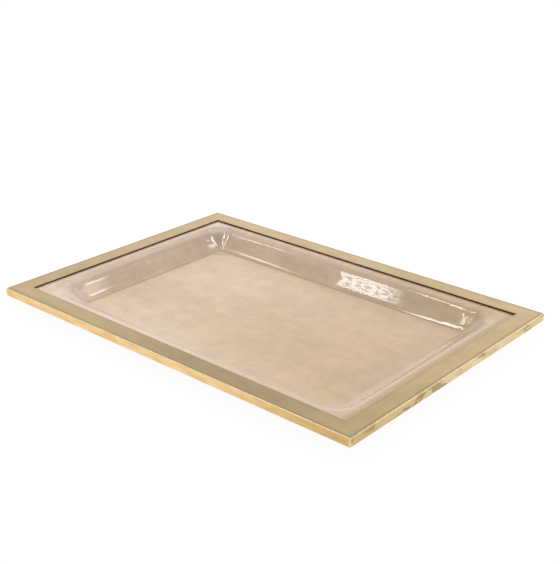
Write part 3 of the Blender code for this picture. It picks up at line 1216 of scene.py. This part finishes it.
@dataclass
class AcrylicWell:
    """The moulded sheet: flange, rounded rim, sloped walls, conical corners and flat floor.

    Attributes:
        sizes: Sizes of the tray.
        sheet: Thickness of the sheet.
        slope: Slope at the top and near the foot of the walls.
        mid_slope: Slope half way down them, since a drawn wall is faintly S-shaped.
        foot_slope: Slope where they run into the crease.
        bend: Radius of the rounded rim.
        foot: Radius of the slow curve above the crease.
        crease: Radius at the foot of the walls.
        rim_margin_x: Width of the flange that shows at the short sides.
        rim_margin_y: Width of the flange that shows at the long sides.
        rim_corner: Radius of the rim's corners in plan.
        wall_corner: Radius in plan at the top of the walls, from where the corners taper down.
        floor_corner: Radius of the floor's corners in plan.
        flange_corner: Radius of the flange's outer corners in plan.
        bearing: Width of the flange that lies under the lip.
        hold: Width of the ring that keeps the floor flat beside the crease.
        corner_steps: Facets round a corner.
        side_steps: Facets along a long and along a short side.
        bend_steps: Rings round the rim's bend.
        wall_steps: Rings down each half of a wall.
        foot_steps: Rings down the slow curve.
        crease_steps: Rings round the crease.
        flange_steps: Rings across the flange.
        floor_steps: Rings from the middle of the floor to its edge.
        crease_shade_marks: How far the crease's painted shade shows on each ring, from the last one of the
            flat floor.
        crease_shade_fade: Shares of the floor's size over which this painted shade fades at its front and
            its right.
        crease_shade_lost: Share of the painted shade that is lost there.
        flange_sheen_marks: How far the flange's painted sheen shows on each ring.
        flange_lead: Rings inside the rim's upper edge from where it starts.
        smooth_angle: Largest angle between faces that are shaded as one.
        ripple: Height of the slow waves of the moulded surface.
        ripple_length: Length of those waves.
        short_ripple: Length and height of the shorter waves on them, against theirs.
        short_shift: How far the shorter waves are moved along X.
        under_ring: Size of the one ring under the floor, against the floor's.
    """

    sizes: TraySizes
    sheet: float = 0.003
    slope: float = math.radians(35.2)
    mid_slope: float = math.radians(37.2)
    foot_slope: float = math.radians(28.0)
    bend: float = 0.028
    foot: float = 0.060
    crease: float = 0.005
    rim_margin_x: float = 0.0075
    rim_margin_y: float = 0.0040
    rim_corner: float = 0.034
    wall_corner: float = 0.030
    floor_corner: float = 0.0005
    flange_corner: float = 0.002
    bearing: float = 0.0127
    hold: float = 0.0005
    corner_steps: int = 32
    side_steps: tuple[int, int] = (84, 52)
    bend_steps: int = 18
    wall_steps: int = 5
    foot_steps: int = 5
    crease_steps: int = 7
    flange_steps: int = 3
    floor_steps: int = 26
    crease_shade_marks: tuple[float, ...] = (0.0, 0.3, 0.6, 0.8, 0.9, 0.8, 0.6, 0.4, 0.2, 0.0)
    crease_shade_fade: Range = (0.96, 1.0)
    crease_shade_lost: float = 0.8
    flange_sheen_marks: tuple[float, ...] = (0.1, 0.2, 0.3, 0.45, 0.75, 1.0, 1.0)
    flange_lead: int = 3
    smooth_angle: float = math.radians(50.0)
    ripple: float = 0.00005
    ripple_length: float = 0.055
    short_ripple: Range = (0.35, 0.3)
    short_shift: float = 1.0
    under_ring: float = 0.5

    def build(self, effects: Effects) -> bpy.types.Object:
        """Builds and dresses the well.

        Args:
            effects: The shared node groups.

        Returns:
            The well.
        """
        rings = self._rings()
        count = len(rings[0])
        verts = [point for ring in rings for point in ring]
        faces = []
        for start in range(0, len(verts) - count, count):
            for i in range(count):
                j = (i + 1) % count
                faces.append((start + i, start + j, start + count + j, start + count + i))
        for start, ring in ((0, rings[0]), (len(verts) - count, rings[-1])):
            verts.append(tuple(sum((Vector(point) for point in ring), Vector()) / count))
            faces += [(start + i, start + (i + 1) % count, len(verts) - 1) for i in range(count)]
        mesh = bpy.data.meshes.new("moulded_well")
        mesh.from_pydata(verts, [], faces)
        shell = bmesh.new()
        shell.from_mesh(mesh)
        bmesh.ops.recalc_face_normals(shell, faces=shell.faces[:])
        shell.to_mesh(mesh)
        shell.free()
        mesh.shade_smooth()
        mesh.set_sharp_from_angle(angle=self.smooth_angle)
        self._mark(mesh, count)
        mesh.materials.append(AcrylicFinish().build(effects))
        return finished_piece("moulded_well", mesh, ["acrylic_well"])

    def _mark(self, mesh: bpy.types.Mesh, count: int) -> None:
        """Marks the painted shade in the tight bend at the foot of the walls, and the painted sheen on the
        flange and the rim.

        Args:
            mesh: The well, with its rings in order from the middle of the floor.
            count: Points in a ring.
        """
        marks = {"crease": [0.0] * len(mesh.vertices), "flange": [0.0] * len(mesh.vertices)}
        low, high = self.crease_shade_fade
        first = self.floor_steps - 1
        # Painted shade of the crease, weaker towards the front and the right.
        for ring, mark in enumerate(self.crease_shade_marks):
            start = (first + ring) * count
            points = [vertex.co for vertex in mesh.vertices[start:start + count]]
            reach_x = max(point.x for point in points)
            reach_y = max(point.y for point in points)
            for i, point in enumerate(points):
                near = max(point.x / reach_x, -point.y / reach_y)
                fade = min(max((near - low) / (high - low), 0.0), 1.0)
                marks["crease"][start + i] = mark * (1.0 - self.crease_shade_lost * fade)
        # Painted sheen on the flange and the rim's bend.
        first += len(self._stations()) - self.flange_lead
        for ring, mark in enumerate(self.flange_sheen_marks):
            start = (first + ring) * count
            marks["flange"][start:start + count] = [mark] * count
        for name, values in marks.items():
            mesh.attributes.new(name, "FLOAT", "POINT").data.foreach_set("value", values)

    def _ring(self, half_x: float, half_y: float, radius: float) -> list[Range]:
        """Points round a rounded rectangle, anticlockwise, with the straight sides cut into steps.

        Args:
            half_x: Half its size along X.
            half_y: Half its size along Y.
            radius: Radius of its corners.

        Returns:
            The points.
        """
        arcs = []
        for quarter, (side_x, side_y) in enumerate(((1, 1), (-1, 1), (-1, -1), (1, -1))):
            middle = Vector((side_x * (half_x - radius), side_y * (half_y - radius)))
            turns = [math.pi / 2 * (quarter + k / self.corner_steps) for k in range(self.corner_steps + 1)]
            arcs.append([middle + radius * Vector((math.cos(turn), math.sin(turn))) for turn in turns])
        points = []
        for quarter, arc in enumerate(arcs):
            points += arc
            following = arcs[(quarter + 1) % 4][0]
            steps = self.side_steps[quarter % 2]
            points += [arc[-1].lerp(following, k / steps) for k in range(1, steps)]
        return [tuple(point) for point in points]

    def _stations(self) -> list[Point]:
        """Section of the upper face from the rim to the floor.

        Returns:
            Inset, drop and slope of each ring.
        """
        depth = self.sizes.flange_top - self.sheet
        curved = self.bend * (1 - math.cos(self.slope))
        curved += self.foot * (math.cos(self.foot_slope) - math.cos(self.slope))
        curved += self.crease * (1 - math.cos(self.foot_slope))
        wall = (depth - curved) / (2 * (math.cos(self.slope) - math.cos(self.mid_slope)))
        arcs = (
            (self.bend, 0.0, self.slope, self.bend_steps),
            (wall, self.slope, self.mid_slope, self.wall_steps),
            (-wall, self.mid_slope, self.slope, self.wall_steps),
            (-self.foot, self.slope, self.foot_slope, self.foot_steps),
            (-self.crease, self.foot_slope, 0.0, self.crease_steps),
        )
        stations = [(0.0, 0.0, 0.0)]
        for radius, first, last, steps in arcs:
            inset, drop, _ = stations[-1]
            for k in range(1, steps + 1):
                slope = first + (last - first) * k / steps
                along = radius * (math.sin(slope) - math.sin(first))
                down = radius * (math.cos(first) - math.cos(slope))
                stations.append((inset + along, drop + down, slope))
        return stations

    def _rippled(self, x: float, y: float, z: float) -> Point:
        """A point of the upper face, lifted by the slow waves of the moulded sheet.

        Args:
            x: Its place along X.
            y: Its place along Y.
            z: Its height.

        Returns:
            The lifted point.
        """
        length, height = self.short_ripple
        wave = noise.noise(Vector((x, y, 0.0)) / self.ripple_length)
        short = noise.noise(Vector((x + self.short_shift, y, 0.0)) / (length * self.ripple_length))
        return (x, y, z + self.ripple * (wave + height * short))

    def _rings(self) -> list[list[Point]]:
        """The closed sheet, from the middle of its floor out over the flange and back below.

        Returns:
            Every ring.
        """
        sizes = self.sizes
        open_x = sizes.length / 2 - sizes.rail_width
        open_y = sizes.width / 2 - sizes.rail_width
        rim_x = open_x - self.rim_margin_x
        rim_y = open_y - self.rim_margin_y
        stations = self._stations()
        last_inset = stations[-1][0]
        wall_inset = stations[self.bend_steps][0]
        upper = []
        under = []
        for inset, drop, slope in stations:
            if inset <= wall_inset:
                corner = self.rim_corner + (self.wall_corner - self.rim_corner) * inset / wall_inset
            else:
                share = (inset - wall_inset) / (last_inset - wall_inset)
                corner = self.wall_corner + (self.floor_corner - self.wall_corner) * share
            out = self.sheet * math.sin(slope)
            height = sizes.flange_top - drop
            plan = self._ring(rim_x - inset, rim_y - inset, corner)
            upper.append([(x, y, height) for x, y in plan])
            lower = self._ring(rim_x - inset + out, rim_y - inset + out, corner + out)
            under.append([(x, y, height - self.sheet * math.cos(slope)) for x, y in lower])
        edge = self._ring(open_x + self.bearing, open_y + self.bearing, self.flange_corner)
        flange = []
        for k in range(1, self.flange_steps + 1):
            share = k / self.flange_steps
            ring = [Vector(a[:2]).lerp(Vector(b), share) for a, b in zip(upper[0], edge)]
            flange.append([(x, y, sizes.flange_top) for x, y in ring])
        inner = last_inset + self.hold
        held = self._ring(rim_x - inner, rim_y - inner, self.floor_corner)
        upper.append([(x, y, upper[-1][0][2]) for x, y in held])
        floor = []
        for k in range(1, self.floor_steps):
            share = k / self.floor_steps
            floor.append([(x * share, y * share, z) for x, y, z in upper[-1]])
        top = floor + upper[::-1] + flange
        top = [[self._rippled(*point) for point in ring] for ring in top[:-1]] + top[-1:]
        below = [[(x, y, sizes.flange_under) for x, y in edge]] + under
        below.append([(x * self.under_ring, y * self.under_ring, z) for x, y, z in under[-1]])
        return top + below


@dataclass
class ClampHardware:
    """Plates, strips and screws that clamp the well from below.

    Attributes:
        shank_radius: Radius of a screw's shank.
        length: Length of a screw.
        slot_width: Width of the slot in its head.
        slot_depth: Depth of the slot.
        shank_fit: Radius of the shank that is joined on, against its own, so that it meets no edge.
        cutter_length: Length of the slot's cutter, against the head's radius.
        facets: Facets round a screw.
        turn: How far each screw is turned past the one before.
        smooth_angle: Largest angle between faces that are shaded as one.
    """

    shank_radius: float = 0.0015
    length: float = 0.006
    slot_width: float = 0.0008
    slot_depth: float = 0.0007
    shank_fit: float = 0.98
    cutter_length: float = 4.0
    facets: int = 32
    turn: float = math.radians(47.0)
    smooth_angle: float = math.radians(40.0)

    def build(self, effects: Effects) -> list[bpy.types.Object]:
        """Dresses the plates and strips, and sets out the screws.

        Args:
            effects: The shared node groups.

        Returns:
            The two sets of screws.
        """
        plate = MILL_PLATE.build(effects)
        for name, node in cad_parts.items():
            if name.startswith(("corner_plate_", "clamp_strip_")):
                node.material_slots[0].material = plate
                log.info("%s: keeps its solid, in mill finish brass", name)
        screw = TURNED_SCREW.build(effects)
        tree = self._tree()
        sets = []
        for kind in ("corner_screw", "strip_screw"):
            nodes = sorted(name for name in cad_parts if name.startswith(kind))
            mesh = mesh_from_nodes(self._points(nodes), tree, self._inputs(nodes[0], screw))
            mesh.set_sharp_from_angle(angle=self.smooth_angle)
            sets.append(finished_piece(f"{kind}s", mesh, nodes))
        return sets

    def _inputs(self, node: str, material: bpy.types.Material) -> dict[str, object]:
        """Values of the screw tree's inputs.

        Args:
            node: A screw's solid, on which the head's radius is measured.
            material: Finish of the screws.

        Returns:
            The values by name.
        """
        low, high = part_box(node)
        return {
            "Head Radius": (high.x - low.x) / 2,
            "Shank Radius": self.shank_radius,
            "Length": self.length,
            "Slot Width": self.slot_width,
            "Slot Depth": self.slot_depth,
            "Facets": self.facets,
            "Finish": material,
        }

    def _points(self, nodes: list[str]) -> bpy.types.Mesh:
        """A point at the head of each screw, with its turn.

        Args:
            nodes: The screws' solids.

        Returns:
            A mesh of loose points.
        """
        places = []
        for name in nodes:
            low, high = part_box(name)
            places.append(((low.x + high.x) / 2, (low.y + high.y) / 2, low.z))
        mesh = bpy.data.meshes.new("screw_places")
        mesh.from_pydata(places, [], [])
        turns = mesh.attributes.new("turn", "FLOAT", "POINT")
        turns.data.foreach_set("value", [self.turn * (i + 1) for i in range(len(places))])
        return mesh

    def _tree(self) -> bpy.types.NodeTree:
        """Geometry tree that makes one slotted countersunk screw and sets it out on the points.

        Returns:
            The tree.
        """
        inputs = {
            "Points": "Geometry",
            "Head Radius": "Float",
            "Shank Radius": "Float",
            "Length": "Float",
            "Slot Width": "Float",
            "Slot Depth": "Float",
            "Facets": "Int",
            "Finish": "Material",
        }
        graph, given = start_group(GroupKind.SHAPE, "slotted_screws", inputs, "Screws")
        neck = graph.math("SUBTRACT", given["Head Radius"], given["Shank Radius"])
        cone = {
            "Vertices": given["Facets"],
            "Radius Top": given["Shank Radius"],
            "Radius Bottom": given["Head Radius"],
            "Depth": neck,
        }
        head = graph.out("GeometryNodeMeshCone", cone)
        half = graph.math("MULTIPLY", given["Length"], 0.5)
        thin = graph.math("MULTIPLY", given["Shank Radius"], self.shank_fit)
        pin = {"Vertices": given["Facets"], "Radius": thin, "Depth": half}
        shank = graph.out("GeometryNodeMeshCylinder", pin)
        lift = graph.math("ADD", graph.math("MULTIPLY", half, 0.5), graph.math("MULTIPLY", neck, 0.5))
        raised = graph.out("GeometryNodeTransform", {"Geometry": shank, "Translation": graph.join(z=lift)})
        whole = graph.add("GeometryNodeMeshBoolean", {"Mesh 2": head}, operation="UNION", solver="EXACT")
        graph.put(whole.inputs["Mesh 2"], raised)
        wide = graph.math("MULTIPLY", given["Head Radius"], self.cutter_length)
        tall = graph.math("MULTIPLY", given["Slot Depth"], 2.0)
        slot = graph.out("GeometryNodeMeshCube", {"Size": graph.join(wide, given["Slot Width"], tall)})
        pair = {"Mesh 1": whole.outputs[0], "Mesh 2": slot}
        cut = graph.out("GeometryNodeMeshBoolean", pair, operation="DIFFERENCE", solver="EXACT")
        spin = graph.join(z=graph.out("GeometryNodeInputNamedAttribute", {"Name": "turn"}))
        turned = graph.out("FunctionNodeEulerToRotation", {"Euler": spin})
        placing = {"Points": given["Points"], "Instance": cut, "Rotation": turned}
        placed = graph.out("GeometryNodeInstanceOnPoints", placing)
        real = graph.out("GeometryNodeRealizeInstances", {"Geometry": placed})
        smooth = graph.out("GeometryNodeSetShadeSmooth", {"Geometry": real, "Shade Smooth": True})
        dressed = graph.out("GeometryNodeSetMaterial", {"Geometry": smooth, "Material": given["Finish"]})
        graph.add("NodeGroupOutput", {"Screws": dressed})
        return graph.tree


@dataclass(frozen=True)
class Lamp:
    """A flat soft lamp between two ends, turned towards the tray.

    Attributes:
        name: Name of the lamp.
        start: Middle of its first end.
        end: Middle of its other end.
        breadth: Its size across.
        radiance: How bright its face is, where 1 is white.
        fade: Shares of its length over which it grows dark towards the first and the other end.
        mottle: How deep the mottling of its face is.
        colour: Colour of its light.
        blot_waves: Waves of the mottling across the face.
        blot_limits: Heights of their noise between which the face grows bright.
    """

    name: str
    start: Point
    end: Point
    breadth: float
    radiance: float
    fade: Range = (0.1, 0.1)
    mottle: float = 0.0
    colour: Colour = WHITE
    blot_waves: float = 11.0
    blot_limits: Range = (0.40, 0.56)

    def build(self, aim: Vector) -> bpy.types.Object:
        """Makes the lamp.

        Args:
            aim: The point that it faces.

        Returns:
            The lamp's object.
        """
        start = Vector(self.start)
        end = Vector(self.end)
        middle = (start + end) / 2
        along = (end - start).normalized()
        back = middle - aim
        back = (back - along * back.dot(along)).normalized()
        data = bpy.data.lights.new(self.name, "AREA")
        data.shape = "RECTANGLE"
        data.size = (end - start).length
        data.size_y = self.breadth
        data.energy = self.radiance * math.pi * data.size * data.size_y
        data.color = self.colour
        self._soften(data)
        lamp = linked(self.name, data)
        turn = Matrix((along, back.cross(along), back)).transposed().to_4x4()
        lamp.matrix_world = Matrix.Translation(middle) @ turn
        lamp.visible_camera = False
        log.info("lamp %s", self.name)
        return lamp

    def _soften(self, data: bpy.types.AreaLight) -> None:
        """Lets the lamp's face grow dark towards its ends, and mottles it.

        Args:
            data: The lamp.
        """
        data.use_nodes = True
        data.node_tree.nodes.clear()
        graph = Graph(data.node_tree)
        face = graph.add("ShaderNodeNewGeometry").outputs["Parametric"]
        along = graph.split(face)[0]
        rising = graph.span(along, (0.0, self.fade[0]))
        falling = graph.span(along, (1.0 - self.fade[1], 1.0), (1.0, 0.0))
        level = graph.math("MULTIPLY", rising, falling)
        if self.mottle:
            waves = graph.noise(face, self.blot_waves, detail=4.0)
            blots = graph.span(waves, self.blot_limits, (1.0 - self.mottle, 1.0))
            level = graph.math("MULTIPLY", level, blots)
        graph.add("ShaderNodeOutputLight", {"Surface": graph.out("ShaderNodeEmission", {"Strength": level})})


MIRRORED_LAMPS = (
    Lamp("window", (-0.835, -0.10, 1.237), (-0.665, -0.10, 1.341), 0.18, 13.0, (0.02, 0.35), 0.9),
    Lamp("window_edge", (-0.642, 0.302, 1.322), (-0.548, 0.116, 1.392), 0.085, 12.0, (0.5, 0.03)),
    Lamp("window_tip", (-0.550, 0.085, 1.393), (-0.508, 0.085, 1.409), 0.155, 12.0, (0.02, 0.02)),
    Lamp("window_corner", (-0.49, -0.093, 1.414), (-0.33, -0.093, 1.460), 0.075, 13.0, (0.05, 0.05)),
    Lamp("window_head", (-0.5125, -0.150, 1.402), (-0.5125, -0.088, 1.406), 0.0042, 14.0, (0.02, 0.02)),
    Lamp("window_foot", (-0.512, 0.022, 1.410), (-0.500, 0.022, 1.414), 0.070, 13.0, (0.02, 0.02)),
    Lamp("far_window", (-1.10, 0.035, 1.025), (-0.91, 0.11, 1.185), 0.08, 7.5, (0.4, 0.45)),
    Lamp("rear_window", (0.046, 0.845, 1.236), (0.13, 0.845, 1.236), 0.25, 13.0),
    Lamp("rear_edge", (-0.06, 1.0665, 1.053), (-0.01, 1.0665, 1.053), 0.008, 9.0, (0.2, 0.2)),
    Lamp("rear_light", (-0.015, 0.763, 1.291), (-0.015, 0.84, 1.243), 0.030, 6.5, (0.3, 0.45)),
    Lamp("rear_glow", (0.005, 0.763, 1.291), (0.005, 0.85, 1.235), 0.085, 3.2, (0.2, 0.7), 0.0, ROSY),
)


@dataclass
class Studio:
    """Pale floor, sky, lamps and camera.

    Attributes:
        azimuth: Direction of the camera round the tray, from the front towards the right.
        elevation: Its height above the horizon.
        roll: Its roll.
        target: The point that the camera looks at.
        distance: From that point to the camera.
        lens: Focal length, in millimetres.
        sensor: Width of the sensor, in millimetres.
        aim: The point that the lamps face.
        floor_half: Half the side of the floor.
        floor_drop: How far the floor lies below the tray, so that their faces never coincide.
        floor_grey: Reflectance of the floor.
        shade_share: How much of the real shade the floor shows.
        floor_glow: Brightness of the floor's own white, where 1 is white.
        horizon: Brightness of the sky near the horizon, where 1 is white.
        horizon_tint: Its colour there.
        backdrop: Brightness of the band above it.
        shoulder: Brightness above that band.
        ceiling: Brightness higher up.
        backdrop_rise: Elevations between which the sky grows from one to the next.
        backdrop_fall: Elevations between which it falls to the shoulder.
        shoulder_fall: Elevations between which it falls to the ceiling.
        leftward: Range of X, in the sky's directions, over which it grows darker towards the left.
        leftward_share: Share of its brightness there.
        nearward: Range over which the sky grows darker towards the camera's side.
        nearward_share: Share of its brightness there.
        key: The soft key lamp behind the tray, which nothing mirrors.
        lamps: The lamps that the gloss mirrors.
    """

    azimuth: float = math.radians(40.697)
    elevation: float = math.radians(23.171)
    roll: float = math.radians(0.402)
    target: Point = (-0.0301, 0.0573, 0.0294)
    distance: float = 1.5194
    lens: float = 68.82
    sensor: float = 36.0
    aim: Point = (0.0, 0.0, 0.02)
    floor_half: float = 6.0
    floor_drop: float = 0.0004
    floor_grey: float = 0.9
    shade_share: float = 0.12
    floor_glow: float = 1.07
    horizon: float = 0.8
    horizon_tint: Colour = (1.0, 0.96, 0.90)
    backdrop: float = 1.32
    shoulder: float = 0.97
    ceiling: float = 0.66
    backdrop_rise: Range = (math.radians(5.0), math.radians(17.0))
    backdrop_fall: Range = (math.radians(18.0), math.radians(24.0))
    shoulder_fall: Range = (math.radians(29.0), math.radians(39.0))
    leftward: Range = (-0.76, -0.67)
    leftward_share: float = 0.82
    nearward: Range = (-0.1, 0.8)
    nearward_share: float = 0.5
    key: Lamp = Lamp("key", (-2.66, 2.06, 3.83), (-1.02, 3.20, 3.83), 2.0, 7.8)
    lamps: tuple[Lamp, ...] = MIRRORED_LAMPS

    def build(self) -> None:
        """Makes the floor, the sky, the lamps and the camera."""
        self._floor()
        self._sky()
        aim = Vector(self.aim)
        for lamp in self.lamps:
            lamp.build(aim)
        self.key.build(aim).visible_glossy = False
        self._camera()
        bpy.context.scene.view_settings.view_transform = "Standard"

    def _floor(self) -> None:
        """A wide pale floor that shows white, with a soft share of the tray's shade."""
        half = self.floor_half
        z = -self.floor_drop
        mesh = bpy.data.meshes.new("floor")
        corners = [(-half, -half, z), (half, -half, z), (half, half, z), (-half, half, z)]
        mesh.from_pydata(corners, [], [(0, 1, 2, 3)])
        material = bpy.data.materials.new("pale_floor")
        material.use_nodes = True
        material.node_tree.nodes.clear()
        graph = Graph(material.node_tree)
        grey = solid((self.floor_grey,) * 3)
        matt = graph.out("ShaderNodeBsdfDiffuse", {"Color": grey})
        white = graph.out("ShaderNodeEmission", {"Color": solid(WHITE), "Strength": self.floor_glow})
        path = graph.add("ShaderNodeLightPath").outputs
        seen = graph.math("MAXIMUM", path["Is Camera Ray"], path["Is Glossy Ray"])
        seen = graph.math("MAXIMUM", seen, path["Is Transmission Ray"])
        share = graph.math("MULTIPLY", seen, 1.0 - self.shade_share)
        mixed = graph.out("ShaderNodeMixShader", {0: share, 1: matt, 2: white})
        graph.add("ShaderNodeOutputMaterial", {"Surface": mixed})
        mesh.materials.append(material)
        linked("floor", mesh)

    def _sky(self) -> None:
        """A sky with a bright backdrop behind the tray, and plain white to the camera."""
        world = bpy.data.worlds.new("studio_sky")
        bpy.context.scene.world = world
        world.use_nodes = True
        world.node_tree.nodes.clear()
        graph = Graph(world.node_tree)
        way = graph.add("ShaderNodeTexCoord").outputs["Generated"]
        sideways, _, rise = graph.split(way)
        levels = (self.horizon, self.backdrop, self.shoulder, self.ceiling)
        steps = (self.backdrop_rise, self.backdrop_fall, self.shoulder_fall)
        level = self.horizon
        for angles, below, above in zip(steps, levels, levels[1:]):
            step = graph.span(rise, self._sines(angles), (0.0, above - below))
            level = graph.math("ADD", level, step)
        darker = graph.span(sideways, self.leftward, (self.leftward_share, 1.0))
        level = graph.math("MULTIPLY", level, darker)
        camera_side = (math.sin(self.azimuth), -math.cos(self.azimuth), 0.0)
        nearness = graph.add("ShaderNodeVectorMath", {0: way, 1: camera_side}, operation="DOT_PRODUCT")
        shaded = graph.span(nearness.outputs["Value"], self.nearward, (1.0, self.nearward_share))
        level = graph.math("MULTIPLY", level, shaded)
        tint = graph.mix(graph.span(rise, self._sines(self.backdrop_rise)), self.horizon_tint, WHITE)
        sky = graph.out("ShaderNodeBackground", {"Color": tint, "Strength": level})
        plain = graph.out("ShaderNodeBackground", {"Color": solid(WHITE), "Strength": 1.0})
        camera_ray = graph.add("ShaderNodeLightPath").outputs["Is Camera Ray"]
        mixed = graph.out("ShaderNodeMixShader", {0: camera_ray, 1: sky, 2: plain})
        graph.add("ShaderNodeOutputWorld", {"Surface": mixed})

    @staticmethod
    def _sines(angles: Range) -> Range:
        """Heights, in the sky's directions, at two elevations."""
        return math.sin(angles[0]), math.sin(angles[1])

    def _camera(self) -> None:
        """The camera at the photograph's place."""
        level = math.cos(self.elevation)
        across = math.sin(self.azimuth) * level
        away = -math.cos(self.azimuth) * level
        back = Vector((across, away, math.sin(self.elevation)))
        right = Vector((math.cos(self.azimuth), math.sin(self.azimuth), 0.0))
        up = back.cross(right)
        rolled_right = right * math.cos(self.roll) + up * math.sin(self.roll)
        rolled_up = up * math.cos(self.roll) - right * math.sin(self.roll)
        data = bpy.data.cameras.new("camera")
        data.lens = self.lens
        data.sensor_width = self.sensor
        camera = linked("camera", data)
        turn = Matrix((rolled_right, rolled_up, back)).transposed().to_4x4()
        camera.matrix_world = Matrix.Translation(Vector(self.target) + back * self.distance) @ turn
        bpy.context.scene.camera = camera


def main() -> None:
    """Builds the tray's looks and the studio round it."""
    logging.basicConfig(level=logging.INFO, format="%(message)s")
    sizes = TraySizes.from_frame()
    effects = Effects()
    FrameRails(sizes).build(effects)
    AcrylicWell(sizes).build(effects)
    ClampHardware().build(effects)
    Studio().build()


if __name__ == "__main__":
    main()
